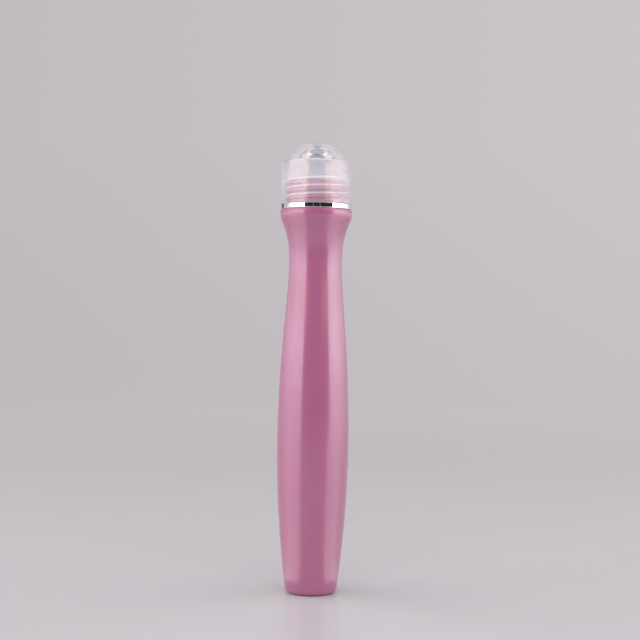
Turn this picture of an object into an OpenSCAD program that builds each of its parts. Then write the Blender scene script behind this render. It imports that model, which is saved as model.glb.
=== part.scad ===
// Roll-on bottle, standing upright: a hollow bottle with a screw neck, a loose trim ring,
// a ball housing with its ball, and a clear screw cap.
// Millimetres. +Z is up, and the origin is the middle of the foot, on the surface it stands on.

/* [Bottle body] */
// Radius of the foot, where the wall's line meets the ground
foot_r = 7.35; // [6.8:0.05:8.5]
// Rounding between the wall and the foot
foot_round = 1.4; // [0.8:0.1:1.8]
// Radius of the shallow dish under the foot
dish_r = 4.6; // [3:0.1:4.8]
// Depth of the dish
dish_h = 0.5; // [0.2:0.1:0.8]
// How far the belly, the widest place of the lower body, lies inside the flare's radius
belly_in = 0.08; // [0:0.02:0.6]
// Height of the belly above the ground
belly_h = 43; // [36:0.5:48]
// Radius of the waist, the narrowest place
waist_r = 7.69; // [7.5:0.01:8.6]
// Height from the belly to the waist
waist_rise = 52.5; // [44:0.5:60]
// How far the flared top stands out past the ring
flare_out = 0.12; // [0:0.02:0.5]
// Height from the waist to the widest place of the flare
flare_rise = 14.2; // [12:0.1:18]
// Straight height between the flare and the shoulder
shoulder_rise = 1.2; // [0.8:0.1:2]
// Rounding of the shoulder's outer edge
shoulder_round = 0.4; // [0.2:0.05:0.7]
// Wall thickness of the bottle
bottle_wall = 1.1; // [0.8:0.05:1.2]
// Thickness of the bottle's floor over the dish
floor_t = 1.4; // [1:0.1:2]

/* [Neck and thread] */
// Height of the neck above the shoulder
neck_h = 8.3; // [8:0.1:9]
// Wall of the neck between its bore and the bare face between the threads
neck_wall = 1.4; // [1.3:0.05:1.6]
// How far the collar at the neck's root, which centres the ring, stands out past the thread's crests
collar_out = 0.1; // [0.05:0.01:0.2]
// Lift of the screw in one turn
thread_pitch = 2.3; // [2.2:0.05:2.5]
// Height of the thread ridges over their wall
thread_depth = 0.7; // [0.5:0.05:0.75]
// Width of a ridge where it leaves its wall
thread_root_w = 1; // [0.8:0.05:1.1]
// Width of a ridge at its crest
thread_crest_w = 0.4; // [0.3:0.05:0.5]
// Height from the ring's top face to the middle of the neck thread's lower end
thread_start_h = 0.9; // [0.7:0.1:1.5]
// Bare height between the neck thread and the neck's rim
thread_end_h = 0.1; // [0.05:0.05:0.5]
// How far the cap's thread runs on past the neck's rim
thread_over_h = 1.3; // [0:0.1:1.5]

/* [Trim ring] */
// Width of the ring from its bore to its outer face
ring_w = 1.22; // [1:0.02:1.5]
// Height of the ring
ring_h = 1.5; // [1.1:0.05:1.7]
// Rounding of the ring's outer edges
ring_round = 0.2; // [0.1:0.05:0.4]

/* [Ball and housing] */
// Radius of the ball
ball_r = 6; // [5.9:0.05:6.2]
// Wall of the housing beside the ball's middle
ball_side_wall = 2.3; // [2:0.02:2.4]
// Height of the housing's collar above the neck
housing_h = 5.9; // [5.2:0.05:6]
// Rounding of the housing's top edge
housing_round = 0.6; // [0.3:0.05:0.9]
// Height of the lip above the ball's middle
lip_rise = 1.5; // [1.2:0.05:1.6]
// Wall of the cup under the ball
cup_wall = 1.1; // [0.9:0.05:1.2]
// Radius of the hole that feeds the ball
feed_r = 3.4; // [2:0.1:3.8]
// Depth of the plug in the neck
plug_h = 6.5; // [6:0.1:8]
// Wall of the plug's skirt
plug_wall = 1; // [0.8:0.05:1.2]
// Height of one sealing rib
rib_h = 0.8; // [0.5:0.05:1]
// How far a sealing rib stands out of the plug
rib_out = 0.15; // [0.1:0.01:0.2]
// Number of sealing ribs on the plug
ribs = 2; // [1:1:3]

/* [Cap] */
// Wall of the cap at its mouth
mouth_wall = 1.2; // [1.1:0.02:1.4]
// Wall of the cap at the top of its side
brow_wall = 1; // [0.9:0.02:1.1]
// Width of the sloping brow between the cap's side and the dome's foot
brow_w = 2.1; // [1.6:0.1:2.4]
// Height of the brow's slope
brow_h = 1.65; // [1.4:0.05:1.9]
// Rounding between the cap's side and its brow
brow_round = 0.8; // [0.4:0.05:1]
// Height of the dome's foot above the housing's rim
dome_foot_rise = 1.55; // [1.4:0.05:1.8]
// Wall of the dome
dome_wall = 0.9; // [0.8:0.05:1]
// Bevel inside the cap's mouth
mouth_bevel = 0.3; // [0.2:0.05:0.5]

/* [Clearances] */
// Running clearance of the ring round the collar
ring_fit = 0.08; // [0.05:0.01:0.1]
// Gap under the ring, and between ring and cap
ring_gap = 0.05; // [0.03:0.01:0.1]
// Gap between a ridge's crest and the wall that it faces
thread_gap = 0.3; // [0.25:0.01:0.35]
// Gap between the housing's collar and the crests that pass over it
pass_gap = 0.2; // [0.15:0.01:0.25]
// Gap round the ball in its cup
ball_fit = 0.06; // [0.04:0.01:0.1]
// Gap round the plug's ribs in the neck's bore
plug_fit = 0.02; // [0.01:0.01:0.05]
// Gap between the ball and the dome
crown_gap = 0.25; // [0.2:0.01:0.4]

/* [Hidden] */
$fn = 96;

// Steps of one curve, of one rounding and of one turn of thread
curve_steps = 18;
round_steps = 5;
dome_steps = 20;
turn_steps = 36;
// How far every cut runs past what it cuts
overrun = 0.5;

// How far the curves' handles reach, as shares of the height they span
foot_handle_share = 1 / 3;
belly_under_share = 1 / 3;
belly_over_share = 0.5;
waist_under_share = 0.2;
waist_over_share = 0.7;
flare_under_share = 0.19;

// How far a ridge is sunk in its wall, and the share of a turn over which it runs out
ridge_sink = 0.2;
runout_share = 0.1;
// Where round the neck its thread begins
thread_start_angle = 145;

// Heights above the ground
waist_z = belly_h + waist_rise;
flare_z = waist_z + flare_rise;
shoulder_z = flare_z + shoulder_rise;
ring_z = shoulder_z + ring_gap;
ring_top_z = ring_z + ring_h;
neck_z = shoulder_z + neck_h;
rim_z = neck_z + housing_h;
ball_z = rim_z - lip_rise;
mouth_z = ring_top_z + ring_gap;
dome_foot_z = rim_z + dome_foot_rise;
brow_z = dome_foot_z - brow_h;
crown_in_z = ball_z + ball_r + crown_gap;
crown_z = crown_in_z + dome_wall;

// Radii from the ball outwards: the housing, the cap's crests that pass over it, the neck that
// those crests leave free, and the walls past its thread
housing_r = ball_r + ball_fit + ball_side_wall;
cap_crest_r = housing_r + pass_gap;
cap_bore_r = cap_crest_r + thread_depth;
neck_r = cap_crest_r - thread_gap;
neck_bore_r = neck_r - neck_wall;
collar_r = neck_r + thread_depth + collar_out;
ring_bore_r = collar_r + ring_fit;
ring_r = ring_bore_r + ring_w;
flare_r = ring_r + flare_out;
belly_r = flare_r - belly_in;
mouth_r = cap_bore_r + mouth_wall;
brow_r = cap_bore_r + brow_wall;
dome_foot_r = brow_r - brow_w;

// How far the side leans out over the foot, as the run of its first handle and as an angle
foot_lean = 2 * (belly_r - foot_r);
foot_angle = atan(foot_lean / belly_h);

// The neck's thread, and the cap's, which keeps half a pitch above it all round
neck_thread_z = ring_top_z + thread_start_h;
neck_turns = (neck_z - thread_end_h - thread_root_w / 2 - neck_thread_z) / thread_pitch;
cap_thread_z = mouth_z + mouth_bevel + thread_root_w / 2;
cap_turns = (neck_z + thread_over_h - cap_thread_z) / thread_pitch;
cap_thread_angle = thread_start_angle + 360 * ((cap_thread_z - neck_thread_z) / thread_pitch - 0.5);

// The dome is part of a sphere that goes through its foot and the crown
dome_rise = crown_z - dome_foot_z;
dome_r = (dome_foot_r ^ 2 + dome_rise ^ 2) / (2 * dome_rise);
dome_z = crown_z - dome_r;

// A point of a smooth curve from p to s, drawn towards its handles q and r
function curve_point(p, q, r, s, t) =
    p * (1 - t) ^ 3 + q * 3 * (1 - t) ^ 2 * t + r * 3 * (1 - t) * t ^ 2 + s * t ^ 3;

function curve(p, q, r, s, steps = curve_steps) =
    [for (i = [0 : steps]) curve_point(p, q, r, s, i / steps)];

function arc(centre, radius, from, to, steps = round_steps) =
    [for (i = [0 : steps]) let (a = from + (to - from) * i / steps) centre + radius * [cos(a), sin(a)]];

function reversed(points) = [for (i = [len(points) - 1 : -1 : 0]) points[i]];

// The side of the bottle from the foot to the flare, drawn in by inset for the inner face
function side_of_bottle(inset) =
    let (
        foot = [foot_r - inset, 0],
        belly = [belly_r - inset, belly_h],
        waist = [waist_r - inset, waist_z],
        flare = [flare_r - inset, flare_z]
    )
    concat(
        curve(
            foot,
            foot + [foot_lean, belly_h] * foot_handle_share,
            belly - [0, belly_h * belly_under_share],
            belly
        ),
        curve(
            belly,
            belly + [0, waist_rise * belly_over_share],
            waist - [0, waist_rise * waist_under_share],
            waist
        ),
        curve(
            waist,
            waist + [0, flare_rise * waist_over_share],
            flare - [0, flare_rise * flare_under_share],
            flare
        )
    );

// The same side between two heights
function side_between(inset, low, high) =
    [for (p = side_of_bottle(inset)) if (p[1] > low && p[1] < high) p];

// One ridge of a screw thread: four-cornered, sunk in its wall, running out at both ends.
// out is 1 for a thread on a shaft and -1 for one in a bore.
function ridge_share(turn, turns) = max(0, min(1, turn / runout_share, (turns - turn) / runout_share));

function ridge_ring(turn, turns, wall_r, out, z, angle) =
    let (
        height = (ridge_sink + thread_depth) * ridge_share(turn, turns),
        crest = max(height, ridge_sink / 2),
        a = angle + 360 * turn,
        middle = z + thread_pitch * turn,
        root_r = wall_r - out * ridge_sink,
        crest_r = root_r + out * crest
    )
    [
        for (corner = [
            [root_r, -thread_root_w / 2],
            [crest_r, -thread_crest_w / 2],
            [crest_r, thread_crest_w / 2],
            [root_r, thread_root_w / 2]
        ])
        [corner[0] * cos(a), corner[0] * sin(a), middle + corner[1]]
    ];

module thread_ridge(turns, wall_r, out, z, angle) {
    steps = round(turns * turn_steps);
    rings = [for (i = [0 : steps]) ridge_ring(turns * i / steps, turns, wall_r, out, z, angle)];
    corners = len(rings[0]);
    points = [for (ring = rings) for (point = ring) point];
    sides = [
        for (i = [0 : steps - 1])
        for (j = [0 : corners - 1])
        let (
            a = i * corners + j,
            b = i * corners + (j + 1) % corners,
            c = b + corners,
            d = a + corners
        )
        each (out > 0 ? [[a, b, c], [a, c, d]] : [[a, c, b], [a, d, c]])
    ];
    first = [for (j = [0 : corners - 1]) j];
    last = [for (j = first) steps * corners + j];
    ends = out > 0 ? [reversed(first), last] : [first, reversed(last)];
    polyhedron(points, concat(sides, ends), convexity = 8);
}

// Hollow bottle with its foot, belly, waist, flare, shoulder and neck
module bottle() {
    foot_arc_x = foot_r - foot_round * (1 - sin(foot_angle)) / cos(foot_angle);
    foot_arc = arc([foot_arc_x, foot_round], foot_round, -90, -foot_angle);
    shoulder_arc = arc(
        [flare_r - shoulder_round, shoulder_z - shoulder_round], shoulder_round, 0, 90
    );
    floor_z = dish_h + floor_t;
    ceiling_z = shoulder_z - bottle_wall;
    outside = concat(
        [[0, dish_h], [dish_r - dish_h, dish_h], [dish_r, 0]],
        foot_arc,
        side_between(0, foot_round, shoulder_z),
        shoulder_arc,
        [[collar_r, shoulder_z], [collar_r, ring_top_z], [neck_r, ring_top_z], [neck_r, neck_z]]
    );
    inside = concat(
        [[0, floor_z], [foot_r - bottle_wall - foot_round, floor_z]],
        side_between(bottle_wall, floor_z + foot_round, ceiling_z - bottle_wall),
        [[neck_bore_r, ceiling_z], [neck_bore_r, neck_z]]
    );
    color([0.78, 0.5, 0.64]) union() {
        rotate_extrude() polygon(concat(outside, reversed(inside)));
        thread_ridge(neck_turns, neck_r, 1, neck_thread_z, thread_start_angle);
    }
}

// Loose ring round the neck's collar
module trim_ring() {
    color([0.85, 0.85, 0.87]) rotate_extrude() polygon(concat(
        [[ring_bore_r, ring_z]],
        arc([ring_r - ring_round, ring_z + ring_round], ring_round, -90, 0),
        arc([ring_r - ring_round, ring_top_z - ring_round], ring_round, 0, 90),
        [[ring_bore_r, ring_top_z]]
    ));
}

// Retainer with a collar on the neck's rim, a cup for the ball and a ribbed plug
module ball_housing() {
    plug_r = neck_bore_r - plug_fit - rib_out;
    plug_z = neck_z - plug_h;
    skirt_r = plug_r - plug_wall;
    under_r = ball_r + ball_fit + cup_wall;
    color([0.93, 0.9, 0.92]) difference() {
        union() {
            rotate_extrude() polygon(concat(
                [[0, plug_z], [plug_r, plug_z], [plug_r, neck_z], [housing_r, neck_z]],
                arc([housing_r - housing_round, rim_z - housing_round], housing_round, 0, 90),
                [[0, rim_z]]
            ));
            for (i = [1 : ribs])
                translate([0, 0, plug_z + plug_h * i / (ribs + 1) - rib_h / 2])
                    cylinder(r = plug_r + rib_out, h = rib_h);
        }
        translate([0, 0, ball_z]) sphere(r = ball_r + ball_fit);
        translate([0, 0, plug_z - overrun]) cylinder(r = feed_r, h = ball_z - plug_z + overrun);
        difference() {
            translate([0, 0, plug_z - overrun]) cylinder(r = skirt_r, h = plug_h + overrun);
            translate([0, 0, ball_z]) sphere(r = under_r);
        }
    }
}

// Steel ball
module roller_ball() {
    color([0.72, 0.73, 0.76]) translate([0, 0, ball_z]) sphere(r = ball_r);
}

// Clear screw cap with a domed crown
module cap() {
    brow_slope = brow_h / brow_w;
    brow_angle = atan(brow_slope);
    brow_arc_z = brow_z - brow_round * (1 - sin(brow_angle)) / cos(brow_angle);
    dome_foot_angle = atan2(dome_foot_z - dome_z, dome_foot_r);
    inner_dome_r = dome_r - dome_wall;
    inner_foot_r = inner_dome_r * cos(dome_foot_angle);
    inner_foot_z = dome_z + inner_dome_r * sin(dome_foot_angle);
    bore_top_z = inner_foot_z - brow_slope * (cap_bore_r - inner_foot_r);
    color([0.86, 0.87, 0.9, 0.35]) union() {
        rotate_extrude() polygon(concat(
            [[mouth_r, mouth_z]],
            arc([brow_r - brow_round, brow_arc_z], brow_round, 0, 90 - brow_angle),
            arc([0, dome_z], dome_r, dome_foot_angle, 90, dome_steps),
            arc([0, dome_z], inner_dome_r, 90, dome_foot_angle, dome_steps),
            [[cap_bore_r, bore_top_z], [cap_bore_r, mouth_z + mouth_bevel], [cap_bore_r + mouth_bevel, mouth_z]]
        ));
        thread_ridge(cap_turns, cap_bore_r, -1, cap_thread_z, cap_thread_angle);
    }
}

bottle();
trim_ring();
ball_housing();
roller_ball();
cap();
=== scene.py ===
# %% [markdown]
# # A slim roll-on bottle
# This lesson dresses a small roll-on bottle for its portrait. The real thing is five mouldings on one axis:
# a pearly pink bottle, a bright loose ring, a milky housing, a steel ball and a clear screw cap.
# Everything is turned round that one axis, so nearly all of it can be drawn as an outline and spun. The solid
# parts were made beforehand at their real sizes. We load them first and hang every finished piece on them,
# and so the finished bottle still opens and its ball still rolls.

# %% Load the solid parts
import math

import bmesh
import bpy
import numpy as np
from mathutils import Matrix, Vector


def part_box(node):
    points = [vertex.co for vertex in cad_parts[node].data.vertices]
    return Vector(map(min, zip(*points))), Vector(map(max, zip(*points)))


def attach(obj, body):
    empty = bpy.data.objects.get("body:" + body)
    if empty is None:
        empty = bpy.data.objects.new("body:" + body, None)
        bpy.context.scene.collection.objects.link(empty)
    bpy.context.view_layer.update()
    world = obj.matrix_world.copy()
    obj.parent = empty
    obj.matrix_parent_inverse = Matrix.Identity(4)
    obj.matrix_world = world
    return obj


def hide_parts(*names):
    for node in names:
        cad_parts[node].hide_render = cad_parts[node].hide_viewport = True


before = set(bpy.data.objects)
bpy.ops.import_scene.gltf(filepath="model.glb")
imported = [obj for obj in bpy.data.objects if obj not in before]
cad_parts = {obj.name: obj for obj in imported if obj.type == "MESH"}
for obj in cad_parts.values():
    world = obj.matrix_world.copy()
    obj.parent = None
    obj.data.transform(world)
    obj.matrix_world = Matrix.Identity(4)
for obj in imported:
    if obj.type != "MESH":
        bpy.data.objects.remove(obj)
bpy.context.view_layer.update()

MM = 0.001

# %% [markdown]
# ## Sizes
# Blender works in metres, and a maker of bottles works in millimetres. We keep every size in millimetres and
# turn it into metres only when a mesh is made. The places where parts meet are read from the solid parts, so
# that the finish can't drift away from them.

# %% Read the meeting places from the solid parts
def reach(part):
    """Lowest height, highest height and outer radius of a solid part, in millimetres."""
    low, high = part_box(part)
    return round(low.z / MM, 3), round(high.z / MM, 3), round(high.x / MM, 3)


_, NECK_Z, FLARE_R = reach("bottle")
RING_Z, RING_TOP_Z, RING_R = reach("trim_ring")
PLUG_Z, RIM_Z, HOUSING_R = reach("ball_housing")
BALL_LOW_Z, BALL_HIGH_Z, _ = reach("roller_ball")
MOUTH_Z, CROWN_Z, MOUTH_R = reach("cap")
BALL_Z = (BALL_LOW_Z + BALL_HIGH_Z) / 2
BALL_R = (BALL_HIGH_Z - BALL_LOW_Z) / 2
print("ball", BALL_R, "mm in radius at height", BALL_Z, "and crown at", CROWN_Z)

# %% [markdown]
# The other sizes belong to the mouldings themselves: walls, roundings, and the steps between neighbours. Where a
# size follows from a neighbour, such as the neck's from the housing's, it is written that way, so that the two
# still fit when one of them changes.

# %% Sizes of the mouldings
FOOT_R, FOOT_ROUND, DISH_R, DISH_H = 7.35, 1.4, 4.6, 0.5
BELLY_R, BELLY_Z, WAIST_R, WAIST_Z = FLARE_R - 0.08, 43.0, 7.69, 95.5
SHOULDER_Z, SHOULDER_ROUND, WALL, FLOOR_Z = RING_Z - 0.05, 0.4, 1.1, 1.9
FLARE_Z = SHOULDER_Z - 1.2
PITCH, THREAD_DEPTH, THREAD_HALF_ROOT, THREAD_HALF_CREST = 2.3, 0.7, 0.44, 0.19
CAP_BORE_R, NECK_R = HOUSING_R + 0.2 + THREAD_DEPTH, HOUSING_R - 0.1
NECK_BORE_R, COLLAR_R = NECK_R - 1.4, NECK_R + THREAD_DEPTH + 0.1
RING_BORE_R, RING_ROUND = COLLAR_R + 0.08, 0.2
BROW_R, BROW_W, BROW_H, BROW_ROUND = CAP_BORE_R + 1, 2.1, 1.65, 0.8
DOME_FOOT_Z, DOME_WALL, MOUTH_BEVEL = RIM_Z + 1.55, 0.9, 0.3
print("neck", round(NECK_R, 2), "mm and cap's bore", round(CAP_BORE_R, 2), "mm in radius")

# %% [markdown]
# ## Outlines
# A turned piece begins as a line of points, each a radius and a height. Four small drawing helpers are enough:
# a free curve between two points, an arc, one that rounds every corner a little, and one that divides long
# straight parts. A moulded edge is never truly sharp, and the thin highlight along it is what makes a small
# object look real. A bevel modifier could round the edges too, but on an outline it is exact, and it costs a
# few points only.

# %% Drawing helpers
def curve(start, leave, arrive, end, steps=56):
    """A smooth curve from start to end, which leaves towards one handle and arrives from the other."""
    t = np.linspace(0, 1, steps + 1)[:, None]
    start, leave, arrive, end = (np.array(p, float) for p in (start, leave, arrive, end))
    return start * (1 - t) ** 3 + leave * 3 * t * (1 - t) ** 2 + arrive * 3 * t**2 * (1 - t) + end * t**3


def arc(centre, radius, start, end, steps=10):
    """Points on a circle between two angles in degrees."""
    a = np.radians(np.linspace(start, end, steps + 1))
    return np.array(centre, float) + radius * np.stack([np.cos(a), np.sin(a)], axis=1)


def soften(points, radius=0.1, steps=4):
    """Rounds every corner of more than 20 degrees."""
    points = [np.array(p, float) for p in points]
    out = [points[0]]
    for before, corner, after in zip(points, points[1:], points[2:]):
        back, on = before - corner, after - corner
        turn = math.pi - math.acos(max(-1, min(1, back @ on / np.linalg.norm(back) / np.linalg.norm(on))))
        if turn < math.radians(20):
            out.append(corner)
            continue
        cut = min(radius * math.tan(turn / 2), 0.4 * np.linalg.norm(back), 0.4 * np.linalg.norm(on))
        p, q = corner + back / np.linalg.norm(back) * cut, corner + on / np.linalg.norm(on) * cut
        for t in np.linspace(0, 1, steps + 1):
            out.append(p * (1 - t) ** 2 + corner * 2 * t * (1 - t) + q * t**2)
    return np.array(out + [points[-1]])


def spaced(points, longest=0.5):
    """Adds points, so that no straight part is longer than this."""
    points = np.array(points, float)
    out = [points[0]]
    for p, q in zip(points, points[1:]):
        parts = max(1, math.ceil(np.linalg.norm(q - p) / longest - 1e-6))
        out += [p + (q - p) * i / parts for i in range(1, parts + 1)]
    return np.array(out)


print("a softened corner takes", len(soften([(0, 0), (1, 0), (1, 1)])) - 2, "points")

# %% [markdown]
# ## The screw thread
# Neck and cap carry the same screw: a ridge that climbs 2.3 mm in a turn. It could be swept along a helix and
# joined to the wall, but joining two meshes leaves a ragged seam, which clear plastic shows at once. It is
# cleaner to let the wall itself swell. At each point we ask how far it is from the middle of the ridge, and
# push it out by that much. The ridge fades at both ends, as a moulded thread does.

# %% How far the ridge swells out of its wall
def thread(z, angle, start_z, start_angle, turns, runout=0.1):
    """Height of the ridge at heights z and angles in degrees."""
    first = np.mod(angle - start_angle, 360) / 360
    swell = np.zeros(np.broadcast(z, angle).shape)
    for whole in range(int(turns) + 1):
        turn = first + whole
        off = np.abs(z - start_z - PITCH * turn)
        side = np.clip((THREAD_HALF_ROOT - off) / (THREAD_HALF_ROOT - THREAD_HALF_CREST), 0, 1)
        end = np.clip(np.minimum(turn, turns - turn) / runout, 0, 1)
        swell = np.maximum(swell, side * side * (3 - 2 * side) * end * end * (3 - 2 * end))
    return THREAD_DEPTH * swell


NECK_START, NECK_ANGLE = RING_TOP_Z + 0.9, 145.0
NECK_TURNS = (NECK_Z - 0.6 - NECK_START) / PITCH
CAP_START = MOUTH_Z + MOUTH_BEVEL + 0.5
CAP_TURNS = (NECK_Z + 1.3 - CAP_START) / PITCH
CAP_ANGLE = NECK_ANGLE + 360 * ((CAP_START - NECK_START) / PITCH - 0.5)
THREAD_STEP = 0.07
print("the neck's thread makes", round(NECK_TURNS, 2), "turns and the cap's", round(CAP_TURNS, 2))

# %% [markdown]
# ## Turning an outline
# The Screw modifier can spin an outline, but we want the thread in the same pass, so the grid is made by hand.
# Each outline point becomes a ring of corners, and neighbouring rings are joined by four-sided faces. A point
# on the axis becomes one corner with a fan of triangles, and an outline that never meets the axis is closed
# into a ring.

# %% Spin an outline into a mesh
def turned(name, outline, wall_r=None, swell=None, outward=1, columns=144):
    """A piece turned round Z in this many columns. Points on wall_r are moved by swell(height, angle)."""
    outline = np.array(outline, float)
    angles = np.arange(columns) * 360 / columns
    corners, rings = [], []
    for radius, height in outline:
        if radius < 1e-9:
            rings.append([len(corners)])
            corners.append((0, 0, height * MM))
            continue
        r = np.full(columns, radius)
        if wall_r is not None and abs(radius - wall_r) < 1e-6:
            r += outward * swell(height, angles)
        rings.append(list(range(len(corners), len(corners) + columns)))
        x, y = r * np.cos(np.radians(angles)) * MM, r * np.sin(np.radians(angles)) * MM
        corners += list(zip(x, y, np.full(columns, height * MM)))
    pairs = list(zip(rings, rings[1:]))
    if len(rings[0]) > 1:
        pairs.append((rings[-1], rings[0]))
    faces = []
    for a, b in pairs:
        for i in range(columns):
            j = (i + 1) % columns
            if len(a) == 1:
                faces.append((a[0], b[i], b[j]))
            elif len(b) == 1:
                faces.append((a[i], b[0], a[j]))
            else:
                faces.append((a[i], b[i], b[j], a[j]))
    mesh = bpy.data.meshes.new(name)
    mesh.from_pydata(corners, [], faces)
    return finished(name, mesh)


def finished(name, mesh):
    """Turns the faces outwards, smooths them and puts the mesh in the scene."""
    work = bmesh.new()
    work.from_mesh(mesh)
    bmesh.ops.recalc_face_normals(work, faces=work.faces)
    work.to_mesh(mesh)
    work.free()
    mesh.shade_smooth()
    mesh.set_sharp_from_angle(angle=math.radians(50))
    piece = bpy.data.objects.new(name, mesh)
    bpy.context.scene.collection.objects.link(piece)
    print(name, "has", len(mesh.polygons), "faces")
    return piece

# %% [markdown]
# ## The bottle
# The bottle is one hollow moulding. Its side is three free curves end to end: foot to belly, belly to waist,
# waist to flare. They share their directions where they meet, so that the long highlight runs down without
# a kink, and the handles, written as shares of a curve's height, say how full each curve is. The inside is the
# same side drawn in by the wall. Although pink plastic hides it, a stranger who takes the cap and the housing
# off can look down the neck.

# %% Outline of the bottle
FOOT_HANDLE, BELLY_UNDER, BELLY_OVER, WAIST_UNDER, WAIST_OVER, FLARE_UNDER = 1 / 3, 1 / 3, 0.5, 0.2, 0.7, 0.19


def side(inset):
    """The side from foot to flare, drawn in by inset."""
    foot, belly = np.array([FOOT_R - inset, 0]), np.array([BELLY_R - inset, BELLY_Z])
    waist, flare = np.array([WAIST_R - inset, WAIST_Z]), np.array([FLARE_R - inset, FLARE_Z])
    up, rise, flare_rise = np.array([0, 1.0]), WAIST_Z - BELLY_Z, FLARE_Z - WAIST_Z
    lean = np.array([2 * (BELLY_R - FOOT_R), BELLY_Z])
    lower = curve(foot, foot + lean * FOOT_HANDLE, belly - up * BELLY_Z * BELLY_UNDER, belly)
    middle = curve(belly, belly + up * rise * BELLY_OVER, waist - up * rise * WAIST_UNDER, waist)
    upper = curve(waist, waist + up * flare_rise * WAIST_OVER, flare - up * flare_rise * FLARE_UNDER, flare)
    return np.vstack([lower, middle[1:], upper[1:]])


def between(points, low, high):
    """The points that lie between two heights."""
    return points[(points[:, 1] > low) & (points[:, 1] < high)]


lean_angle = math.atan(2 * (BELLY_R - FOOT_R) / BELLY_Z)
foot_arc_x = FOOT_R - FOOT_ROUND * (1 - math.sin(lean_angle)) / math.cos(lean_angle)
under = [(0, DISH_H), (DISH_R - DISH_H, DISH_H), (DISH_R, 0), (foot_arc_x, 0)]
foot = arc((foot_arc_x, FOOT_ROUND), FOOT_ROUND, -90, -math.degrees(lean_angle), 12)
shoulder = arc((FLARE_R - SHOULDER_ROUND, SHOULDER_Z - SHOULDER_ROUND), SHOULDER_ROUND, 0, 90)
neck_low, neck_high = (NECK_R, RING_TOP_Z + 0.3), (NECK_R, NECK_Z - 0.3)
root = [shoulder[-1], (COLLAR_R, SHOULDER_Z), (COLLAR_R, RING_TOP_Z), (NECK_R, RING_TOP_Z), neck_low]
neck = spaced([neck_low, neck_high], THREAD_STEP)
rim = [neck[-1], (NECK_R, NECK_Z), (NECK_BORE_R, NECK_Z), (NECK_BORE_R, SHOULDER_Z - WALL)]
inside = between(side(WALL), FLOOR_Z + FOOT_ROUND, SHOULDER_Z - 2 * WALL)[::-3]
floor_in = [inside[-1], (FOOT_R - WALL - FOOT_ROUND, FLOOR_Z), (0, FLOOR_Z)]
bottle_outline = np.vstack([
    spaced(soften(under), 0.4), foot[1:], between(side(0), FOOT_ROUND, SHOULDER_Z), spaced(shoulder),
    spaced(soften(root), 0.3)[1:], neck[1:], spaced(soften(rim), 0.4)[1:], inside, spaced(soften(floor_in), 0.6)[1:],
])
print("the bottle's outline has", len(bottle_outline), "points")

# %% Turn the bottle
bottle = turned("bottle_moulding", bottle_outline, wall_r=NECK_R,
                swell=lambda z, a: thread(z, a, NECK_START, NECK_ANGLE, NECK_TURNS))
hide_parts("bottle")
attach(bottle, "bottle")

# %% [markdown]
# ## The trim ring
# A bright plated band lies loose on the shoulder, round the root of the neck. Because it is a mirror, its
# outline matters more than its colour: a flat outer face between two small rounded edges. A plain cylinder
# would have no edges to catch the light. A smooth mesh also blends the edge's slope into the last row of the
# flat face, so a very thin row at either end holds the slope back.

# %% Turn the ring
HOLD = 0.01
start = (RING_BORE_R, (RING_Z + RING_TOP_Z) / 2)
edge_r, low_z, high_z = RING_R - RING_ROUND, RING_Z + RING_ROUND, RING_TOP_Z - RING_ROUND
under = soften([start, (RING_BORE_R, RING_Z), (edge_r, RING_Z)], 0.08)
over = soften([(edge_r, RING_TOP_Z), (RING_BORE_R, RING_TOP_Z), start], 0.08)
ring_outline = np.vstack([
    [start],
    spaced(under, 0.2)[1:],
    arc((edge_r, low_z), RING_ROUND, -90, 0)[1:],
    spaced([(RING_R, low_z), (RING_R, low_z + HOLD), (RING_R, high_z - HOLD), (RING_R, high_z)], 0.1)[1:],
    arc((edge_r, high_z), RING_ROUND, 0, 90)[1:],
    spaced(over, 0.2)[1:-1],
])
ring = turned("trim_band", ring_outline)
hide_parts("trim_ring")
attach(ring, "ring")

# %% [markdown]
# ## The ball housing
# The housing is a stopper with a cup on top. Its collar stands on the neck, its lip closes just past the
# ball's widest place and so keeps the ball in, and its plug grips the neck with two sealing ribs. A wide hole
# under the ball lets the liquid reach it. Its outline never meets the axis, so it closes into a ring.

# %% Turn the housing
CUP_R, UNDER_R, FEED_R, HOUSING_ROUND = BALL_R + 0.06, BALL_R + 1.16, 3.4, 0.6
RIB_R, RIB_HALF = NECK_BORE_R - 0.02, 0.4
PLUG_R = RIB_R - 0.15
SKIRT_R = PLUG_R - 1
ribs = []
for i in (1, 2):
    rib_z = PLUG_Z + (NECK_Z - PLUG_Z) * i / 3
    low, high = rib_z - RIB_HALF, rib_z + RIB_HALF
    ribs += [(PLUG_R, low), (RIB_R, low), (RIB_R, high), (PLUG_R, high)]


def below_middle(radius, reached_r):
    """The angle under the ball's middle at which a circle of this radius has come in to reached_r."""
    return -math.degrees(math.acos(reached_r / radius))


lip_angle = math.degrees(math.asin((RIM_Z - BALL_Z) / CUP_R))
housing_outline = soften([
    (PLUG_R, PLUG_Z + 0.6), *ribs, (PLUG_R, NECK_Z), (HOUSING_R, NECK_Z),
    *arc((HOUSING_R - HOUSING_ROUND, RIM_Z - HOUSING_ROUND), HOUSING_ROUND, 0, 90),
    *arc((0, BALL_Z), CUP_R, lip_angle, below_middle(CUP_R, FEED_R), 30),
    *arc((0, BALL_Z), UNDER_R, below_middle(UNDER_R, FEED_R), below_middle(UNDER_R, SKIRT_R), 12),
    (SKIRT_R, PLUG_Z), (PLUG_R, PLUG_Z), (PLUG_R, PLUG_Z + 0.59),
], 0.12)
housing = turned("housing_moulding", spaced(housing_outline, 0.4))
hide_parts("ball_housing")
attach(housing, "bottle")

# %% [markdown]
# ## The ball
# A steel ball has no poles, so a sphere with poles would pinch its finish at two points. We start from a cube
# instead, divide each side evenly, and push every corner out to the ball's radius. Taking the tangent first
# keeps the faces about the same size all over.

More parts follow.
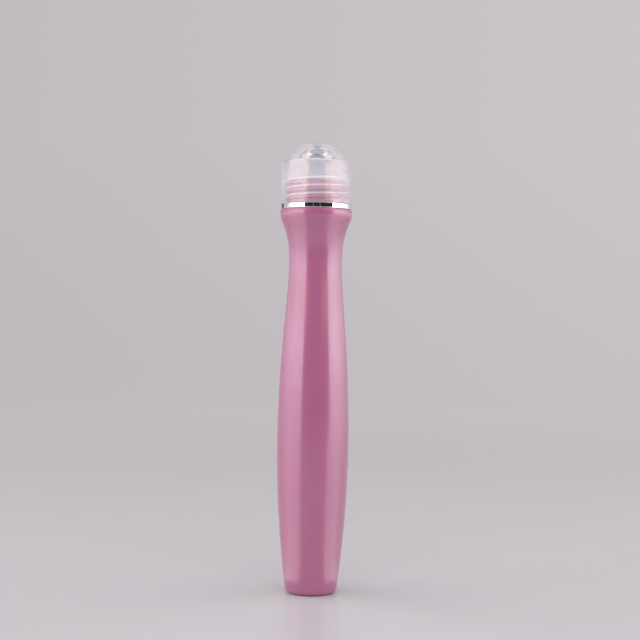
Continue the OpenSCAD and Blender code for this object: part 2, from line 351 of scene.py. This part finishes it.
# %% Push a cube out to a ball
CUTS = 39
ball_mesh = bpy.data.meshes.new("steel_ball")
work = bmesh.new()
bmesh.ops.create_cube(work, size=2)
bmesh.ops.subdivide_edges(work, edges=work.edges[:], cuts=CUTS, use_grid_fill=True)
for corner in work.verts:
    even = Vector([math.tan(c * math.pi / 4) for c in corner.co])
    corner.co = Vector((0, 0, BALL_Z * MM)) + even.normalized() * BALL_R * MM
work.to_mesh(ball_mesh)
work.free()
ball = finished("steel_ball", ball_mesh)
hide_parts("roller_ball")
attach(ball, "ball")

# %% [markdown]
# ## The clear cap
# The cap is a thin clear shell with a round dome, and its thread is on the inside. Clear plastic shows both its
# faces, so it needs a real outer face, a real inner face and a closed edge at its mouth. The dome is part of a
# sphere. It stands on a sloping brow, and a small round joins that brow to the side. A solidify modifier could
# add the inner face, but it couldn't give that face a thread.

# %% Turn the cap
dome_foot_r = BROW_R - BROW_W
dome_rise = CROWN_Z - DOME_FOOT_Z
dome_r = (dome_foot_r**2 + dome_rise**2) / (2 * dome_rise)
dome_z = CROWN_Z - dome_r
foot_angle = math.atan2(DOME_FOOT_Z - dome_z, dome_foot_r)
brow_angle = math.atan2(BROW_H, BROW_W)
brow_mid_z = DOME_FOOT_Z - BROW_H - BROW_ROUND * (1 - math.sin(brow_angle)) / math.cos(brow_angle)
inner_r = dome_r - DOME_WALL
inner_foot = (inner_r * math.cos(foot_angle), dome_z + inner_r * math.sin(foot_angle))
bore_top_z = inner_foot[1] - math.tan(brow_angle) * (CAP_BORE_R - inner_foot[0])
brow_arc = arc((BROW_R - BROW_ROUND, brow_mid_z), BROW_ROUND, 90 - math.degrees(brow_angle), 0, 12)
outer_face = np.vstack([
    arc((0, dome_z), dome_r, 90, math.degrees(foot_angle), 40),
    spaced([(dome_foot_r, DOME_FOOT_Z), brow_arc[0]], 0.25)[1:],
    brow_arc[1:],
])
outer_face[0, 0] = 0
bevel_z = MOUTH_Z + MOUTH_BEVEL
mouth = soften([outer_face[-1], (MOUTH_R, MOUTH_Z), (CAP_BORE_R + MOUTH_BEVEL, MOUTH_Z), (CAP_BORE_R, bevel_z),
                (CAP_BORE_R, bevel_z + 0.2)], 0.15)
threaded = spaced([mouth[-1], (CAP_BORE_R, NECK_Z + 2)], THREAD_STEP)
plain = spaced(soften([threaded[-1], (CAP_BORE_R, bore_top_z), inner_foot], 1.2), 0.3)
inner_face = arc((0, dome_z), inner_r, math.degrees(foot_angle), 90, 36)[1:]
inner_face[-1, 0] = 0
cap = turned("clear_cap", np.vstack([outer_face, spaced(mouth, 0.5)[1:], threaded[1:], plain[1:], inner_face]),
             wall_r=CAP_BORE_R, swell=lambda z, a: thread(z, a, CAP_START, CAP_ANGLE, CAP_TURNS), outward=-1)
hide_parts("cap")
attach(cap, "cap")

# %% [markdown]
# ## Finishes
# All finishes start from the Principled shader. What changes over a surface, such as colour, roughness and tiny
# dents, comes from noise that is measured in the piece's own millimetres. What is the same all over, such as how
# metallic it is, is set on the shader itself. Nodes could be placed by hand in the shader editor, but a few
# helpers write down the same thing in a line each, and can be read again later.

# %% Make nodes and feed them
def node(tree, kind, *sources, **settings):
    """A new node with these settings. Its first sockets take the sources: values, or outputs of other nodes."""
    made = tree.nodes.new("ShaderNode" + kind)
    for setting, value in settings.items():
        setattr(made, setting, value)
    for socket, source in zip(made.inputs, sources):
        give(tree, socket, source)
    return made


def give(tree, socket, source):
    """Links a socket to an output, or sets its value. None leaves it alone."""
    if isinstance(source, bpy.types.NodeSocket):
        tree.links.new(source, socket)
    elif source is not None:
        socket.default_value = source


def feed(tree, target, **sockets):
    """Feeds sockets by name, with an underscore for a space."""
    for name, source in sockets.items():
        give(tree, target.inputs[name.replace("_", " ")], source)


def finish_for(piece, name, **sockets):
    """A new finish on a piece: its node tree, and its Principled shader with these values."""
    finish = bpy.data.materials.new(name)
    finish.use_nodes = True
    shader = finish.node_tree.nodes["Principled BSDF"]
    feed(finish.node_tree, shader, **sockets)
    piece.data.materials.clear()
    piece.data.materials.append(finish)
    return finish.node_tree, shader


print("one millimetre is", MM, "of a Blender unit, so lumps of 1 mm need a noise of scale", 1 / MM)

# %% [markdown]
# ### Places, noises and numbers
# A finish often asks where it is on the piece. The object coordinates answer that, and they stay with the piece
# when it moves. From a place we get a noise or a height, and one node maps that number to the range we need.

# %% Helpers for what changes over a surface
def here(tree):
    """The place on the piece, in metres."""
    return node(tree, "TexCoord").outputs["Object"]


def noise(tree, size, detail=2.0, stretch=(1, 1, 1)):
    """A noise whose lumps are about size millimetres, and longer along an axis with a smaller stretch."""
    mapping = node(tree, "Mapping")
    feed(tree, mapping, Vector=here(tree), Scale=stretch)
    texture = node(tree, "TexNoise")
    feed(tree, texture, Vector=mapping.outputs["Vector"], Scale=1 / (size * MM), Detail=detail)
    return texture.outputs["Fac"]


def mapped(tree, number, from_min, from_max, to_min, to_max, interpolation="LINEAR"):
    """A number mapped from one range to another, and held at its ends."""
    return node(tree, "MapRange", number, from_min, from_max, to_min, to_max,
                interpolation_type=interpolation).outputs["Result"]


NOISE_LOW, NOISE_HIGH = 0.3, 0.7


def between_values(tree, wandering, low, high):
    """Turns a noise into a number that wanders between two values."""
    return mapped(tree, wandering, NOISE_LOW, NOISE_HIGH, low, high)


def joined(tree, operation, first, second):
    """Two numbers joined by one sum."""
    return node(tree, "Math", first, second, operation=operation).outputs[0]


def blended(tree, share, first, second):
    """Two numbers mixed, with this share of the second."""
    return node(tree, "Mix", share, None, first, second).outputs[0]


def dents(tree, shader, height, depth):
    """Bumps the surface by a noise of this depth in millimetres."""
    bump = node(tree, "Bump")
    feed(tree, bump, Strength=1.0, Distance=depth * MM, Height=height)
    feed(tree, shader, Normal=bump.outputs["Normal"])


def two_tones(tree, shader, share, first, second):
    """A colour that wanders between two tones."""
    mix = node(tree, "Mix", share, data_type="RGBA")
    give(tree, mix.inputs[6], (*first, 1))
    give(tree, mix.inputs[7], (*second, 1))
    feed(tree, shader, Base_Color=mix.outputs[2])


def surface(tree, share, first, second):
    """Ends the finish in a mix of two shaders, with this share of the second."""
    mix = node(tree, "MixShader", share, first, second)
    feed(tree, tree.nodes["Material Output"], Surface=mix.outputs[0])


print("most of a noise lies between", NOISE_LOW, "and", NOISE_HIGH)

# %% [markdown]
# ### Pearl pink
# The bottle is lacquered with a pearl pink: flakes of mica in a clear binder. Seen from a step away the flakes
# melt into a broad satin sheen, which a rough base with a raised specular level gives. Metal would do it too,
# but would darken the pink wherever it mirrors something dark. A smoother clear coat on top gives the crisper
# stripes down both sides. Close up each flake is a shade lighter or darker, which a cell noise gives with one
# random value a cell.

# %% Lacquer the bottle
PINK_DEEP, PINK_PALE = (0.412, 0.099, 0.216), (0.452, 0.115, 0.245)
FLAKE = 0.11
tree, shader = finish_for(bottle, "pearl_pink", Specular_IOR_Level=0.75,
                          Coat_Weight=1.0, Coat_IOR=1.65, Coat_Roughness=0.17)
flakes = node(tree, "TexVoronoi")
feed(tree, flakes, Vector=here(tree), Scale=1 / (FLAKE * MM))
flake_tone = node(tree, "SeparateColor", flakes.outputs["Color"]).outputs["Red"]
two_tones(tree, shader, blended(tree, 0.45, flake_tone, noise(tree, 9)), PINK_DEEP, PINK_PALE)
feed(tree, shader, Roughness=between_values(tree, noise(tree, 5, 3), 0.41, 0.47))
dents(tree, shader, noise(tree, 1.2), 0.002)
print("pearl pink on", bottle.name)

# %% [markdown]
# ### Bright silver and polished steel
# Both are plain metals, and differ in how they were worked. The ring is plated plastic, almost a perfect mirror
# with the faintest ripple of the moulding under it. The ball is lapped steel, a little darker, with very fine
# marks in every direction.

# %% Plate the ring and polish the ball
tree, shader = finish_for(ring, "bright_silver", Metallic=1.0)
two_tones(tree, shader, noise(tree, 3), (0.86, 0.86, 0.87), (0.92, 0.92, 0.93))
feed(tree, shader, Roughness=between_values(tree, noise(tree, 0.8, 3), 0.03, 0.07))
dents(tree, shader, noise(tree, 2.5), 0.0015)

tree, shader = finish_for(ball, "polished_steel", Metallic=1.0)
two_tones(tree, shader, noise(tree, 1.5, 4), (0.60, 0.61, 0.64), (0.69, 0.70, 0.73))
feed(tree, shader, Roughness=between_values(tree, noise(tree, 0.5, 4, (1, 1, 0.3)), 0.07, 0.13))
dents(tree, shader, noise(tree, 0.3, 3), 0.0006)
print("metals on", ring.name, "and", ball.name)

# %% [markdown]
# ### Milky plastic
# The housing is natural polypropylene: nearly white, because light goes a little way in and comes out again
# beside where it entered. That is subsurface scattering, with a reach of about a millimetre. A matte white
# would look like chalk here. The pink neck under it would tint its lower part, and that glow is painted in as
# painted reflected light, so the tone leans from a warm white at the neck to a cooler one at the rim. A render
# could find that tint by itself, but only slowly.

# %% Mould the housing's plastic
tree, shader = finish_for(housing, "milky_plastic", Subsurface_Weight=0.35, Subsurface_Scale=MM,
                          Subsurface_Radius=(1.6, 1.3, 1.3))
height = node(tree, "SeparateXYZ", here(tree)).outputs["Z"]
# painted reflected light: a warm pink tint low down from the neck's glow, fading to a cooler white at the rim
painted_glow_fade = mapped(tree, height, NECK_Z * MM, (RIM_Z - 1) * MM, 0.15, 0.85)
two_tones(tree, shader, blended(tree, 0.75, noise(tree, 4), painted_glow_fade), (0.595, 0.560, 0.580), (0.645, 0.660, 0.690))
feed(tree, shader, Roughness=between_values(tree, noise(tree, 1.5, 3), 0.26, 0.36))
dents(tree, shader, noise(tree, 0.5), 0.002)
print("milky plastic on", housing.name)

# %% [markdown]
# ### Clear plastic
# Real polypropylene bends light strongly. In a shell this thin that adds little but black corners where the
# Such plastic also has a haze, which is a small share of the light that it doesn't let through: strongest
# where the cap's thread ends, faint in the dome. The crests of the thread are made less clear still, so that
# they show as thin bright lines: painted highlights where the crests would catch the light.

# %% Mould the cap's plastic
LEAST_CLEAR, MOUTH_CLEAR, DOME_CLEAR = 0.80, 0.89, 0.965
# how strongly the thread's crests are painted with highlights, and over which distance from the bore
GLINT, GLINT_FROM, GLINT_TO = 0.45, 0.42, 0.64
tree, shader = finish_for(cap, "clear_plastic", IOR=1.02, Coat_Weight=1.0, Coat_Roughness=0.03)
two_tones(tree, shader, noise(tree, 6), (0.965, 0.945, 0.970), (0.985, 0.965, 0.985))
place = here(tree)
height = node(tree, "SeparateXYZ", place).outputs["Z"]
below = mapped(tree, height, (MOUTH_Z + 1.5) * MM, NECK_Z * MM, MOUTH_CLEAR, LEAST_CLEAR)
above = mapped(tree, height, NECK_Z * MM, (NECK_Z + 3) * MM, LEAST_CLEAR, DOME_CLEAR)
flat = node(tree, "VectorMath", place, (1, 1, 0), operation="MULTIPLY").outputs[0]
from_axis = node(tree, "VectorMath", flat, operation="LENGTH").outputs["Value"]
# painted highlight: the thread's crests are made less clear, so they show as thin bright lines
crest_glint = mapped(tree, from_axis, (CAP_BORE_R - GLINT_FROM) * MM, (CAP_BORE_R - GLINT_TO) * MM, 0, GLINT)
threaded_part = mapped(tree, height, (NECK_Z + 2) * MM, (NECK_Z + 2.1) * MM, 1, 0)
painted_glint = joined(tree, "MULTIPLY", crest_glint, threaded_part)
clear = joined(tree, "SUBTRACT", joined(tree, "MAXIMUM", below, above), painted_glint)
feed(tree, shader, Transmission_Weight=clear, Roughness=between_values(tree, noise(tree, 3, 3), 0.02, 0.06))
dents(tree, shader, noise(tree, 2.2), 0.003)
print("clear plastic on", cap.name)

# %% [markdown]
# ### See-through for lamplight
# Light that is bent has to find a lamp by luck, which leaves what lies inside dark and grainy. So for the rays
# that look for lamps the cap is simply see-through, and for all other rays it is clear plastic.

# %% Let lamplight through the cap
rays = node(tree, "LightPath").outputs
lamplight = joined(tree, "MAXIMUM", rays["Is Shadow Ray"], rays["Is Diffuse Ray"])
see_through = node(tree, "BsdfTransparent", (0.98, 0.97, 0.99, 1)).outputs[0]
surface(tree, lamplight, shader.outputs[0], see_through)
print("lamplight passes", cap.name)

# %% [markdown]
# ## The table and the backdrop
# The bottle stands on a pale, slightly glossy table that runs up into a pale backdrop all round, so that it can
# be looked at from any side. It is one more turned piece: a floor, a wide curve and a wall. The table's tone
# is painted a little paler towards the front, as painted light. A plane would do for one picture, but would end
# behind the bottle in others.

# %% Turn the table and its backdrop
STAGE_R, STAGE_TOP, SWEEP, STAGE_WALL = 1420.0, 1300.0, 300.0, 20.0
stage = turned("table_and_backdrop", np.vstack([
    spaced([(0, 0), (STAGE_R - SWEEP, 0)], 60), arc((STAGE_R - SWEEP, SWEEP), SWEEP, -90, 0, 16)[1:],
    [(STAGE_R, STAGE_TOP), (STAGE_R + STAGE_WALL, STAGE_TOP), (STAGE_R + STAGE_WALL, -STAGE_WALL), (0, -STAGE_WALL)],
]), columns=96)
tree, shader = finish_for(stage, "pale_table", Roughness=0.22, Specular_IOR_Level=0.2)
place = here(tree)
# painted light: the table's tone is made paler towards the front
front_light_reach = node(tree, "VectorMath", place, (0.35, -1, 0), operation="DOT_PRODUCT").outputs["Value"]
painted_front_light = blended(tree, 0.75, noise(tree, 40), mapped(tree, front_light_reach, -0.30, 0.06, 0.1, 0.9))
two_tones(tree, shader, painted_front_light, (0.468, 0.450, 0.457), (0.530, 0.509, 0.517))
dents(tree, shader, noise(tree, 6), 0.002)

# %% [markdown]
# ### Fading into the backdrop
# Close to the bottle the table is truly lit, and so it holds the soft shadows and the faint pink reflection.
# Further off it turns into an even pale tone that only eyes, mirrors and clear plastic see, and that lights
# nothing. A world colour alone would leave the bottle floating. The tone carries painted shade: a shade darker
# on the left and low down behind the table, as a real backdrop lit from above is.

# %% Let the table fade into the backdrop
BACKDROP = (0.571, 0.539, 0.564)
FADE_FROM, FADE_TO, LOW_PAINTED_SHADE = 0.22, 0.75, 0.955
across = node(tree, "SeparateXYZ", place).outputs
# painted shade: the backdrop's tone is darker on the left, far off on the table and low on the backdrop
painted_shade_across = mapped(tree, across["X"], -0.45, 0.45, 0.93, 1.04)
away = node(tree, "VectorMath", place, operation="LENGTH").outputs["Value"]
painted_shade_low = joined(tree, "MAXIMUM", mapped(tree, away, 0.25, 0.9, 1.0, LOW_PAINTED_SHADE),
             mapped(tree, across["Z"], 0.02, 0.32, LOW_PAINTED_SHADE, 1.0))
glow = node(tree, "Emission", (*BACKDROP, 1), joined(tree, "MULTIPLY", painted_shade_across, painted_shade_low)).outputs[0]
rays = node(tree, "LightPath").outputs
seen = rays["Is Camera Ray"]
for other in ("Is Glossy Ray", "Is Transmission Ray"):
    seen = joined(tree, "MAXIMUM", seen, rays[other])
fade = mapped(tree, away, FADE_FROM, FADE_TO, 0, 1, "SMOOTHSTEP")
surface(tree, joined(tree, "MULTIPLY", fade, seen), shader.outputs[0], glow)
print("the table fades between", FADE_FROM, "and", FADE_TO, "m from the bottle")

# %% [markdown]
# ## Light
# Matte and glossy surfaces need different light. Matte plastic wants broad lamps from several sides, and that is
# what the three soft lamps are. They are hidden from gloss, so that none of them shows as a white square on the
# bottle. One big lamp for both would be simpler, but then every change of a stripe would also change the whole
# picture.

# %% Hang three soft lamps that only matte surfaces get
LAMP_W, LAMP_H, LAMP_AWAY, BOTTLE_MIDDLE = 1.2, 1.1, 0.95, Vector((0, 0, 0.07))


def direction(azimuth, elevation):
    """A direction from the bottle: azimuth 0 is towards the front and 90 to the right."""
    a, e = math.radians(azimuth), math.radians(elevation)
    return Vector((math.sin(a) * math.cos(e), -math.cos(a) * math.cos(e), math.sin(e)))


def soft_lamp(name, azimuth, elevation, brightness):
    """A broad lamp that looks this bright, where 1 is white."""
    lamp = bpy.data.lights.new(name, "AREA")
    lamp.shape, lamp.size, lamp.size_y = "RECTANGLE", LAMP_W, LAMP_H
    lamp.energy = brightness * math.pi * LAMP_W * LAMP_H
    holder = bpy.data.objects.new(name, lamp)
    towards = direction(azimuth, elevation)
    holder.location = BOTTLE_MIDDLE + towards * LAMP_AWAY
    holder.rotation_euler = (-towards).to_track_quat("-Z", "Y").to_euler()
    holder.visible_camera = holder.visible_glossy = holder.visible_transmission = False
    bpy.context.scene.collection.objects.link(holder)
    print(name, round(lamp.energy, 1), "W")


soft_lamp("left_lamp", -95, 26, 1.86)
soft_lamp("front_lamp", 2, 40, 1.5)
soft_lamp("right_lamp", 95, 26, 1.38)

# %% [markdown]
# ### Walls that only mirrors see
# Gloss shows a picture of the room, so we build a room round the bottle: bright walls at its sides and dark
# cards in front. In a studio they would be paper, and would also light the table. Ours shine for mirrored rays
# only, and for nothing but the bottle's own pieces, which light linking sees to. A bright wall adds its light to
# the backdrop behind it, so that no dark outline of it shows anywhere, while a dark card hides the backdrop.

# %% The finish of a wall
def wall_finish(name, dark):
    """Shines from the inner side and for mirrored rays, and is see-through for all others."""
    finish = bpy.data.materials.new(name)
    finish.use_nodes = True
    tree = finish.node_tree
    tree.nodes.remove(tree.nodes["Principled BSDF"])
    shine = node(tree, "Emission", node(tree, "Attribute", attribute_name="tone").outputs["Color"]).outputs[0]
    see_through = node(tree, "BsdfTransparent").outputs[0]
    mirrored = joined(tree, "GREATER_THAN", node(tree, "LightPath").outputs["Glossy Depth"], 0.5)
    share = joined(tree, "MULTIPLY", mirrored, node(tree, "NewGeometry").outputs["Backfacing"])
    if not dark:
        shine = node(tree, "AddShader", shine, see_through).outputs[0]
    surface(tree, share, see_through, shine)
    return finish


mirrors = bpy.data.collections.new("what_mirrors_the_walls")
for piece in (bottle, ring, housing, ball, cap):
    mirrors.objects.link(piece)

# %% [markdown]
# ### Bending a wall
# A wall is a grid of faces bent round the bottle. Its tone is written for a few azimuths, and as a share of that
# for a few heights, and Blender blends what lies between. A bright wall's tone is what we want to see there, so
# the backdrop's is taken off first. A picture on a card could hold the same gradient, but would need a file.

# %% Bend a wall round the bottle
WALL_STEP = 4


def three(tone):
    """A red, a green and a blue, also where the tone is one grey."""
    return list(tone) * (3 // len(tone))


def wall(name, tones, rows, dark=False):
    """A bent wall. Each tone is an azimuth and a colour; each row is a radius, a height and a share of the tone."""
    tones = np.array([(azimuth, *three(tone)) for azimuth, *tone in tones])
    angles = np.unique(np.concatenate([tones[:, 0], np.arange(tones[0, 0], tones[-1, 0], WALL_STEP)]))
    behind = (0, 0, 0) if dark else BACKDROP
    corners, colours = [], []
    for angle in angles:
        tone = [np.interp(angle, tones[:, 0], tones[:, c]) for c in (1, 2, 3)]
        for radius, height, *share in rows:
            out = direction(angle, 0) * radius
            corners.append((out.x, out.y, height))
            colours += [max(t * s - b, 0) for t, s, b in zip(tone, three(share), behind)] + [1]
    n = len(rows)
    faces = [(i * n + j, i * n + n + j, i * n + n + j + 1, i * n + j + 1)
             for i in range(len(angles) - 1) for j in range(n - 1)]
    mesh = bpy.data.meshes.new(name)
    mesh.from_pydata(corners, [], faces)
    mesh.color_attributes.new("tone", "FLOAT_COLOR", "POINT").data.foreach_set("color", colours)
    mesh.materials.append(wall_finish(name, dark))
    piece = bpy.data.objects.new(name, mesh)
    bpy.context.scene.collection.objects.link(piece)
    piece.visible_camera = piece.visible_diffuse = piece.visible_shadow = False
    piece.light_linking.receiver_collection = mirrors
    print(name, "has", len(faces), "faces")


WALL_R, TABLE_Z, BODY_SEAM, RING_SEAM, SLOT_TOP, WALL_TOP = 0.62, 0.002, 0.155, 0.186, 0.216, 0.50


def upright(*shares):
    """Rows of an upright wall, from pairs of a height and a share of the tone."""
    return [(WALL_R, height, *share) for height, *share in shares]


print("a wall stands", WALL_R, "m from the axis")

# %% [markdown]
# ### The floor strips
# Where the bottle draws in towards its foot, its side faces down and mirrors the table. Two pale strips just over
# the table keep that part as bright as in a real studio, where the table is lit by the walls.

# %% Lay the floor strips
FLOOR_ROWS = [(radius, TABLE_Z, share)
              for radius, share in ((0.012, 1.35), (0.1, 1.2), (0.2, 1.2), (0.4, 1.4), (0.61, 1.5))]
wall("left_floor", [(-150, 0.35), (-125, 0.4), (-104, 0.65), (-85, 1.1), (-38.3, 1.2)], FLOOR_ROWS)
wall("right_floor", [(45, 1.2), (85, 1.1), (104, 0.65), (125, 0.4), (150, 0.35)], FLOOR_ROWS)

# %% [markdown]
# ### The bright walls
# Each side's walls draw one pale stripe down the bottle and one white patch on the ring. They are stacked in
# levels, because each part of the bottle mirrors its own height: the belly the lowest level, the flare and the
# ring the middle one, and the housing and the cap the highest, which is warmer. One tall wall would tie all
# those parts together. The slots bring the walls closer together at the housing's height, where the dark middle
# is narrower.

# %% Put up the bright walls
LOW_ROWS = upright((TABLE_Z, 0.48), (0.07, 0.57), (0.12, 0.9), (BODY_SEAM, 1))
MIDDLE_ROWS = upright((BODY_SEAM, 1), (RING_SEAM, 1))
HIGH_ROWS = upright((RING_SEAM, 1), (0.30, 0.8), (WALL_TOP, 0.35))
SLOT_ROWS = upright((RING_SEAM, 1), (SLOT_TOP, 1))
wall("left_wall_low", [
    (-142, 0.9, 0.9, 0.95), (-120, 1.35, 1.4, 1.5), (-104, 2.15, 2.25, 2.4), (-87, 2.95, 3.1, 3.3),
    (-60, 3.5, 3.7, 4.0), (-38.3, 3.7, 3.9, 4.1),
], LOW_ROWS)
wall("right_wall_low", [
    (53.7, 3.85, 4.0, 4.2), (80, 3.8, 4.0, 4.25), (95, 3.2, 3.35, 3.5), (108, 2.3, 2.4, 2.5),
    (125, 1.5, 1.55, 1.6), (142, 0.95, 0.95, 1.0),
], LOW_ROWS)
wall("left_wall", [
    (-129, 0.60, 0.59, 0.60), (-108, 0.64, 0.63, 0.64), (-100, 0.85, 0.84, 0.85), (-94, 1.2, 1.19, 1.2),
    (-87, 2.2, 2.3, 2.4), (-78, 3.1, 3.3, 3.5), (-48, 4.0, 4.2, 4.4), (-38.3, 3.9, 3.9, 4.0),
], MIDDLE_ROWS)
wall("right_wall", [
    (53.7, 3.7, 3.7, 3.8), (62, 4.2, 4.4, 4.6), (88, 3.5, 3.7, 3.85), (104, 2.0, 2.05, 2.1),
    (112, 1.3, 1.3, 1.35), (118, 1.0, 0.99, 1.0), (124, 0.80, 0.79, 0.80), (136, 0.56, 0.54, 0.56),
], MIDDLE_ROWS)
wall("left_wall_high", [
    (-129, 0.60, 0.59, 0.60), (-108, 0.75, 0.72, 0.72), (-98, 1.1, 1.0, 0.95), (-80, 1.7, 1.35, 1.15),
    (-61, 1.9, 1.4, 1.05), (-45, 2.7, 1.8, 1.25), (-38, 3.0, 2.0, 1.35),
], HIGH_ROWS)
wall("left_slot", [(-38, 3.1, 2.1, 1.5), (-33, 3.0, 1.9, 1.3), (-26, 1.8, 1.1, 0.8)], SLOT_ROWS)
wall("right_wall_high", [
    (53, 2.8, 2.0, 1.5), (61, 2.5, 1.9, 1.5), (88, 2.2, 1.8, 1.5), (104, 1.7, 1.5, 1.4),
    (118, 1.0, 0.96, 0.98), (136, 0.56, 0.54, 0.56),
], HIGH_ROWS)
wall("right_slot", [(26, 1.8, 1.1, 0.8), (33, 3.0, 1.9, 1.3), (45, 3.1, 2.1, 1.5), (53, 3.0, 2.2, 1.7)], SLOT_ROWS)

# %% [markdown]
# ### The dark cards
# A dark card in front draws the darker middle of the bottle and the ring's black band, which makes the band
# read as metal. Two warm lines on it stand for gaps between its sheets, and show on the ring as two thin lines.
# Further up the card turns grey, for the ball and the dome. A small flag on the left gives the ring's end its
# dark edge.

# %% Put up the dark cards
BLACK, WARM, CARD_GREY, FLAG_BLACK = (0.02, 0.02, 0.025), (0.35, 0.19, 0.12), (0.27, 0.27, 0.31), (0.1, 0.09, 0.1)
CARD_TOP, CARD_HALF, FLAG_R = 0.45, 25.5, 0.6
wall("dark_card", [
    (-37.5, *BLACK), (-10.6, *BLACK), (-10.59, *WARM), (-8.61, *WARM), (-8.6, *BLACK),
    (11.0, *BLACK), (11.01, *WARM), (12.99, *WARM), (13.0, *BLACK), (53, *BLACK),
], upright((TABLE_Z, 1), (RING_SEAM, 1)), dark=True)
wall("dark_card_slot", [(-CARD_HALF, *BLACK), (CARD_HALF, *BLACK)], SLOT_ROWS, dark=True)
wall("dark_card_high", [(-38, *BLACK), (53, *BLACK)], upright((SLOT_TOP, 1), (CARD_TOP, 1)), dark=True)
wall("dark_card_top", [(-CARD_HALF, *CARD_GREY), (CARD_HALF, *CARD_GREY)],
     upright((CARD_TOP, 0.2), (0.60, 2.4), (0.75, 2.8), (0.92, 1.1), (1.5, 1)), dark=True)
wall("dark_flag", [(-148, *FLAG_BLACK), (-129, *FLAG_BLACK)], [(FLAG_R, 0.150, 1), (FLAG_R, 0.180, 1)], dark=True)

# %% [markdown]
# ### The band overhead
# The ball and the dome face up and mirror what hangs over the walls. One band nearly all the way round draws
# their highlights, brightest at the sides, with a dark gap at the back that shows as the dark top of the ball.

# %% Hang the band
wall("band", [
    (26, 0.5, 0.5, 0.55), (40, 0.5, 0.48, 0.5), (52, 0.9, 0.8, 0.75), (62, 2.1, 1.8, 1.6), (80, 2.1, 1.8, 1.6),
    (110, 1.35, 1.2, 1.15), (140, 1.05, 1.0, 1.0), (158, 1.35, 1.24, 1.17), (167, 1.6, 1.42, 1.3),
    (173, 0.35, 0.35, 0.38), (187, 0.35, 0.35, 0.38), (193, 1.6, 1.42, 1.3), (202, 1.35, 1.24, 1.17),
    (220, 1.05, 1.0, 1.0), (250, 1.35, 1.2, 1.15), (280, 2.2, 1.9, 1.7), (298, 2.2, 1.9, 1.7),
    (308, 1.2, 1.05, 0.98), (320, 0.65, 0.6, 0.62), (334, 0.5, 0.5, 0.55),
], upright((WALL_TOP, 0.8), (0.72, 0.75, 0.72, 0.7), (0.90, 1, 0.95, 0.9), (1.06, 1.1, 1, 1), (1.25, 1)))

# %% [markdown]
# ### The room
# What no lamp and no wall reaches is lit by the room itself, which the world stands for: dim and cool, and a
# little brighter overhead. A black world would leave hard dark corners under the cap and beside the foot. The
# Standard view shows colours as they are written.

# %% Light the room dimly
world = bpy.data.worlds.new("dim_room")
bpy.context.scene.world = world
world.use_nodes = True
tree = world.node_tree
upward = node(tree, "SeparateXYZ", node(tree, "TexCoord").outputs["Generated"]).outputs["Z"]
feed(tree, tree.nodes["Background"], Color=(0.92, 0.96, 1.05, 1),
     Strength=mapped(tree, upward, 0.6, 0.95, 0.36, 0.72, "SMOOTHSTEP"))
bpy.context.scene.view_settings.view_transform = "Standard"
print("the room is", world.name)

# %% [markdown]
# ## The camera
# The portrait is taken from 0.38 m away with a long lens, level, and a little above the middle of the bottle. We
# see the table from above and the ring from just below. The camera leans by less than a degree, which is why
# the bottle seems to lean too. Three angles could say all that, but a matrix says it more plainly: its columns
# are the camera's right, its up and its back.

# %% Place the camera
CAMERA_PLACE, LENS, lean_left = (0.00155, -0.380, 0.079), 73.5, math.radians(0.88)
right = Vector((math.cos(lean_left), 0, math.sin(lean_left)))
up = Vector((-math.sin(lean_left), 0, math.cos(lean_left)))
back = Vector((0, -1, 0))
camera_data = bpy.data.cameras.new("camera")
camera_data.lens, camera_data.sensor_width = LENS, 36
camera_data.clip_start, camera_data.clip_end = 0.01, 20
camera = bpy.data.objects.new("camera", camera_data)
camera.matrix_world = Matrix.Translation(CAMERA_PLACE) @ Matrix((right, up, back)).transposed().to_4x4()
bpy.context.scene.collection.objects.link(camera)
bpy.context.scene.camera = camera
print("camera at", [round(c, 4) for c in camera.location])
